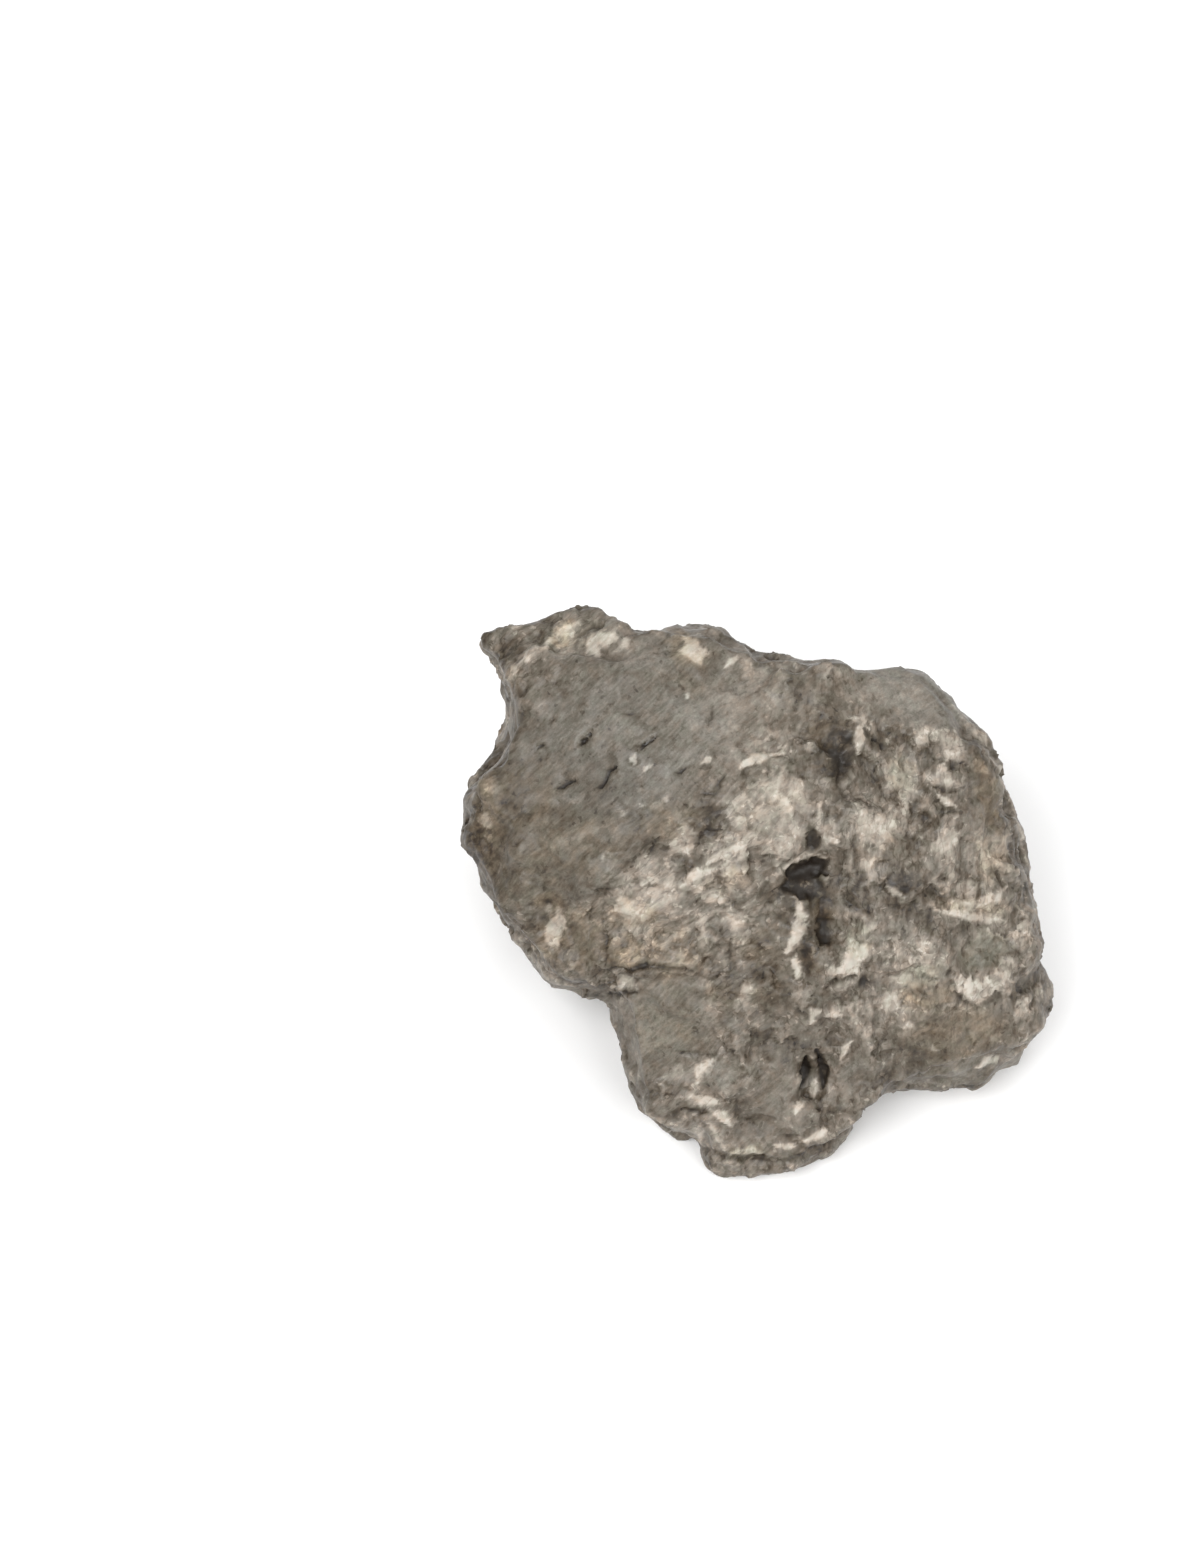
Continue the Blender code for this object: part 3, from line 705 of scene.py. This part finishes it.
carried = {  # what the colour attributes take to the material, by channel, painted shade among them
    "finish": ("pale", "dark", "brown"),
    "form": ("green", "calm", "reliefShade"),
    "relief": ("facets", "crack", "zone"),
}


def dress(piece):
    mesh = piece.data
    turn = np.array(planeTurn)
    world = values(mesh, "co") / mm
    normals = values(mesh, "normal")
    points = (world - np.array(shot["lumpMiddle"])) @ turn
    facing = normals @ turn
    drawn, seen = asSeen(points)
    shown = eased((points[:, 2] + 4) / 4) * eased((facing[:, 2] + 0.25) / 0.3)
    marks = markingsOn(points, drawn, seen, shown)
    raised, marks["facets"] = reliefOn(points, facing, drawn, shown, marks)
    # painted shade and light: where the surface sinks the colour is darker, where it stands out it is
    # lighter
    marks["reliefShade"] = np.clip(0.5 + raised / 1.2, 0, 1)

    resting = eased((world[:, 2] - 0.2) / 1.0)  # near the floor nothing stands out
    foot = (normals[:, 2] < -0.8) & (world[:, 2] < lump["footHeight"])
    raised = np.where(foot, 0, raised - lump["sink"])
    moved = points + facing * (raised * np.where(raised > 0, resting, 1))[:, None]
    placed = moved @ turn.T + np.array(shot["lumpMiddle"])
    low, high = (np.array(corner) / mm for corner in cadBox)
    mesh.vertices.foreach_set("co", (np.clip(placed, low, high) * mm).astype(np.float32).ravel())
    for name, channels in carried.items():
        layer = mesh.color_attributes.new(name, "FLOAT_COLOR", "POINT")
        colours = np.stack([marks[channel] for channel in channels] + [np.ones(len(points))], axis=1)
        layer.data.foreach_set("color", colours.astype(np.float32).ravel())
    mesh.shade_smooth()
    mesh.update()
    print("surface dressed")


# ---- The coal's finish, with painted shade and painted highlights in its colour ----


class Wire:  # an output of a node; arithmetic on it adds Math nodes
    def __init__(self, tree, socket=None):
        self.tree = tree
        self.socket = socket

    def node(self, kind, settings, sockets, output=0):  # any node: settings first, then its sockets
        made = self.tree.nodes.new("ShaderNode" + kind)
        for name, setting in settings.items():
            if name == "stops":
                self.setStops(made.color_ramp, setting)
            else:
                setattr(made, name, setting)
        for name, given in sockets.items():
            if isinstance(given, Wire):
                self.tree.links.new(given.socket, made.inputs[name])
            else:
                made.inputs[name].default_value = given
        return Wire(self.tree, made.outputs[output] if made.outputs else None)

    def setStops(self, ramp, stops):
        while len(ramp.elements) < len(stops):
            ramp.elements.new(0.5)
        for element, (position, colour) in zip(ramp.elements, stops):
            element.position = position
            element.color = (*colour, 1)

    def math(self, operation, first, second):
        return self.node("Math", {"operation": operation}, {0: first, 1: second})

    def __add__(self, other):
        return self.math("ADD", self, other)

    def __radd__(self, other):
        return self.math("ADD", other, self)

    def __sub__(self, other):
        return self.math("SUBTRACT", self, other)

    def __rsub__(self, other):
        return self.math("SUBTRACT", other, self)

    def __mul__(self, other):
        return self.math("MULTIPLY", self, other)

    def __rmul__(self, other):
        return self.math("MULTIPLY", other, self)


coalFinish = {
    "tones": [  # from the darkest painted shade to the palest film and painted sheen
        (0.0, (0.0125, 0.0085, 0.0052)),
        (0.15, (0.0265, 0.0192, 0.0122)),
        (0.30, (0.063, 0.0495, 0.0345)),
        (0.45, (0.108, 0.091, 0.0705)),
        (0.60, (0.178, 0.153, 0.1245)),
        (0.75, (0.272, 0.237, 0.196)),
        (0.90, (0.375, 0.333, 0.281)),
        (1.0, (0.456, 0.415, 0.362)),
    ],
    "pulls": {  # how far each pattern or marking pulls the tone up or down
        "mottle": 0.28,
        "patchy": 0.55,
        "chips": 0.16,
        "grain": 0.22,
        "streak": 0.56,
        "strokes": 0.34,
        "facets": 0.26,
        "dust": 0.20,
        "reliefShade": 0.35,
        "filmAndSheen": 0.30,
        "pale": 0.10,
        "hollowShade": 0.40,
        "crack": 0.26,
        "crevices": 0.14,
        "paintedGlints": 0.18,
        "pits": 0.16,
    },
    "darker": 0.035,  # all over
    "cool": (0.955, 1.015, 1.055),  # tints
    "brown": (1.065, 0.97, 0.83),
    "greenGrey": (0.98, 1.02, 0.98),
    "rosy": (1.035, 0.98, 0.945),
    "mossy": (0.965, 1.01, 0.995),
    # Lengths along the grain, across it and inwards: where it leans, then where it is upright
    "streaks": ((2.6, 0.7, 1.4), (2.1, 0.8, 1.3)),
    "chips": ((2.0, 0.8, 1.4), (2.0, 0.8, 1.4)),
    "chipEdges": ((3.4, 1.3, 2.0), (2.6, 1.5, 2.0)),
    "strokes": (2.1, 0.5, 0.8),
    "strokeTurn": 44,  # degrees
    "bends": {  # how the patterns wander: size and reach
        "streaks": (10.0, 4.5),
        "strokes": (3.0, 0.8),
        "chips": (1.6, 1.5),
        "chipEdges": (1.6, 1.8),
        "specks": (2.2, 2.2),
    },
    "mottle": 7.0,  # the sizes of the other patterns
    "patchy": 3.2,
    "shade": 1.9,
    "grain": 0.9,
    "specks": 0.55,
    "dust": 0.3,
    "roughness": 0.44,
    "roughnessSpread": {"grain": 0.4, "facets": 0.2, "hollowShade": 0.1},
    "ior": 1.38,
    "bumps": {"grain": 0.5, "dust": 0.1, "streak": 0.6, "patchy": 0.4, "chips": 0.04, "crevices": 0.3},
    "bumpStrength": 0.42,
    "bumpDistance": 0.10,
}


def coalMaterial():
    material = bpy.data.materials.new("coal finish")
    material.use_nodes = True
    tree = material.node_tree
    tree.nodes.clear()
    w = Wire(tree)
    place = w.node(
        "Mapping",
        {"vector_type": "TEXTURE"},
        {
            "Vector": w.node("TexCoord", {}, {}, "Object"),
            "Location": Vector(shot["lumpMiddle"]) * mm,
            "Rotation": planeTurn.to_euler(),
            "Scale": (mm, mm, mm),
        },
    )

    def cloud(size, detail=3, roughness=0.6, where=place, output=0):
        sockets = {"Vector": where, "Scale": 1 / size, "Detail": detail, "Roughness": roughness}
        return w.node("TexNoise", {}, sockets, output)

    def bent(kind):  # the plane, bent so that what lies on it wanders
        size, reach = coalFinish["bends"][kind]
        wander = cloud(size, 2, 0.5, place, "Color")
        sockets = {0: wander, 1: (reach, reach, reach), 2: place}
        return w.node("VectorMath", {"operation": "MULTIPLY_ADD"}, sockets)

    def turned(degrees, stretch, where):  # the plane turned, so that its first axis runs along the grain
        sockets = {"Vector": where, "Rotation": (0, 0, math.radians(degrees)), "Scale": stretch}
        return w.node("Mapping", {"vector_type": "TEXTURE"}, sockets)

    def streaky(where):
        return cloud(1, 3, 0.6, where)

    def cells(where, size=1):  # one value a cell
        own = w.node("TexVoronoi", {}, {"Vector": where, "Scale": 1 / size}, "Color")
        return w.node("SeparateColor", {}, {"Color": own}, 1)

    def toEdge(where):  # how far the edge of the cell is
        sockets = {"Vector": where, "Scale": 1}
        return w.node("TexVoronoi", {"feature": "DISTANCE_TO_EDGE"}, sockets, "Distance")

    def step(value, low, high):  # from 0 at low to 1 at high
        sockets = {"Value": value, "From Min": low, "From Max": high}
        return w.node("MapRange", {"interpolation_type": "SMOOTHSTEP"}, sockets)

    upright = step(w.node("SeparateXYZ", {}, {"Vector": place}, 0), *lump["grainTurns"])

    def grained(sample, stretches, where):  # a pattern that follows the grain
        leaning = sample(turned(lump["leaningGrain"], stretches[0], where))
        standing = sample(turned(lump["uprightGrain"], stretches[1], where))
        return leaning + (standing - leaning) * upright

    def channels(name):
        stored = w.node("Attribute", {"attribute_name": name}, {}, "Color")
        return [w.node("SeparateColor", {}, {"Color": stored}, k) for k in range(len(carried[name]))]

    pale, dark, brown = channels("finish")
    green, calm, reliefShade = channels("form")
    facets, crack, zone = channels("relief")
    rough = 1 - calm

    mottle = cloud(coalFinish["mottle"], 4)
    patchy = cloud(coalFinish["patchy"])
    grain = cloud(coalFinish["grain"], 3, 0.5)
    dust = cloud(coalFinish["dust"], 2)
    swirl = bent("streaks")
    streak = grained(streaky, coalFinish["streaks"], swirl)
    strokes = cloud(1, 2, 0.5, turned(coalFinish["strokeTurn"], coalFinish["strokes"], bent("strokes")))
    chips = grained(cells, coalFinish["chips"], bent("chips"))
    edges = grained(toEdge, coalFinish["chipEdges"], bent("chipEdges"))
    speckTone = cells(bent("specks"), coalFinish["specks"])

    # painted shade: the colour along the cracks is darkened
    crack = step(crack + (grain - 0.5) * 0.5, 0.1, 0.9)
    # pale film, partly real and partly painted sheen
    filmAndSheen = step(pale + (chips - 0.5) * 0.3 + (streak - 0.5) * 0.4 + (patchy - 0.5) * 0.5, 0.05, 1.15)
    # painted shade: the colour in the hollows and narrow pits is darkened
    hollowShade = step(dark + (chips - 0.5) * 0.3 + (streak - 0.5) * 0.95 + (grain - 0.5) * 0.95, 0.05, 1.1)
    # crevices: thin lines at the chips' edges, sunk in the bump and painted darker as the shade in them
    crevices = step(0.10 - edges, 0.0, 0.10) * step(patchy, 0.42, 0.62) * rough
    # painted highlights: small bright specks that stand in for glints on the chips
    paintedGlints = step(speckTone, 0.93, 0.97) * step(rough * 0.4 + patchy, 0.5, 1.0)
    # painted shade: small dark specks that stand in for the shade in tiny pits
    pits = step(0.07 - speckTone, 0.0, 0.03) * step(1.2 - patchy, 0.5, 0.9)
    noisy = (rough * 0.58 + 0.42) * (1 - filmAndSheen * 0.4)
    pulls = coalFinish["pulls"]
    tone = (
        zone
        - coalFinish["darker"]
        + (mottle - 0.5) * pulls["mottle"]
        + (patchy - 0.5) * noisy * pulls["patchy"]
        + (chips - 0.5) * noisy * pulls["chips"]
        + (grain - 0.5) * (pulls["grain"] - filmAndSheen * 0.08)
        + (streak - 0.5) * noisy * pulls["streak"]
        + (strokes - 0.5) * (pulls["strokes"] - rough * 0.20)
        + (facets - 0.5) * rough * pulls["facets"]
        + (dust - 0.5) * (pulls["dust"] - rough * 0.15)
        # painted shade: lower ground darker, raised ground lighter
        + (reliefShade - 0.5) * pulls["reliefShade"]
        + filmAndSheen * pulls["filmAndSheen"]
        + pale * pulls["pale"]
        - hollowShade * pulls["hollowShade"]
        - crack * pulls["crack"]
        - crevices * pulls["crevices"]
        + paintedGlints * pulls["paintedGlints"]
        - pits * pulls["pits"]
    )
    skin = w.node("ValToRGB", {"stops": coalFinish["tones"]}, {"Fac": tone})

    shade = cloud(coalFinish["shade"], 3, 0.65, swirl)
    tints = {
        "cool": step(calm + (mottle - 0.5) * 1.5, 0.4, 1.2) * 0.8,
        "brown": step(brown - pale * 0.35 + (patchy - 0.5) * 1.2 + (mottle - 0.5) * 0.6, 0.0, 1.25),
        "greenGrey": step(green + (grain - 0.5) * 0.5, 0.3, 0.9),
        "rosy": step(shade, 0.47, 0.68),
        "mossy": step(1 - shade, 0.47, 0.68),
    }
    for name, amount in tints.items():
        sockets = {"Factor": amount, 6: skin, 7: (*coalFinish[name], 1)}
        skin = w.node("Mix", {"data_type": "RGBA", "blend_type": "MULTIPLY"}, sockets, 2)

    bumps = coalFinish["bumps"]
    relief = (
        grain * bumps["grain"]
        + dust * bumps["dust"]
        + streak * bumps["streak"]
        + patchy * bumps["patchy"]
        + chips * bumps["chips"]
        - crevices * bumps["crevices"]
    )
    strength, distance = coalFinish["bumpStrength"], coalFinish["bumpDistance"] * mm
    bump = w.node("Bump", {}, {"Strength": strength, "Distance": distance, "Height": relief})
    spread = coalFinish["roughnessSpread"]
    gloss = (
        coalFinish["roughness"]
        + (grain - 0.5) * spread["grain"]
        + (facets - 0.5) * spread["facets"]
        + hollowShade * spread["hollowShade"]
    )
    surface = w.node(
        "BsdfPrincipled",
        {},
        {"Base Color": skin, "Roughness": gloss, "IOR": coalFinish["ior"], "Normal": bump},
    )
    w.node("OutputMaterial", {}, {"Surface": surface})
    print("coal finish made")
    return material


# ---- The floor and the light ----

studio = {
    "floorColour": (0.90, 0.90, 0.90, 1),
    "floorSize": 6000,
    "floorRoughness": 0.9,
    "floorShine": 0.1,
    "sky": 0.50,
    "lamps": [  # right, towards the back, up, size and power
        (-380, -380, 850, 600, 8.0),
        (480, -520, 600, 600, 4.5),
        (100, 600, 700, 600, 3.0),
    ],
}


def addStudio():
    bpy.ops.mesh.primitive_plane_add(size=studio["floorSize"] * mm)
    floor = bpy.context.object
    floor.name = "floor"
    finish = bpy.data.materials.new("floor paper")
    finish.use_nodes = True
    paper = finish.node_tree.nodes["Principled BSDF"]
    paper.inputs["Base Color"].default_value = studio["floorColour"]
    paper.inputs["Roughness"].default_value = studio["floorRoughness"]
    paper.inputs["Specular IOR Level"].default_value = studio["floorShine"]
    floor.data.materials.append(finish)
    world = bpy.data.worlds.new("studio")
    world.use_nodes = True
    world.node_tree.nodes["Background"].inputs["Color"].default_value = (1, 1, 1, 1)
    world.node_tree.nodes["Background"].inputs["Strength"].default_value = studio["sky"]
    bpy.context.scene.world = world
    for number, (x, y, z, size, power) in enumerate(studio["lamps"]):
        light = bpy.data.lights.new(f"lamp{number}", "AREA")
        light.energy = power
        light.size = size * mm
        lamp = bpy.data.objects.new(light.name, light)
        bpy.context.scene.collection.objects.link(lamp)
        lamp.location = Vector((x, y, z)) * mm
        lamp.rotation_euler = (-lamp.location).to_track_quat("-Z", "Y").to_euler()
    bpy.context.scene.view_settings.view_transform = "Standard"
    print("studio lit")


addCamera()
coal = fineLump()
dress(coal)
coal.data.materials.clear()
coal.data.materials.append(coalMaterial())
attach(coal, "root")
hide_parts("coal_lump")
addStudio()
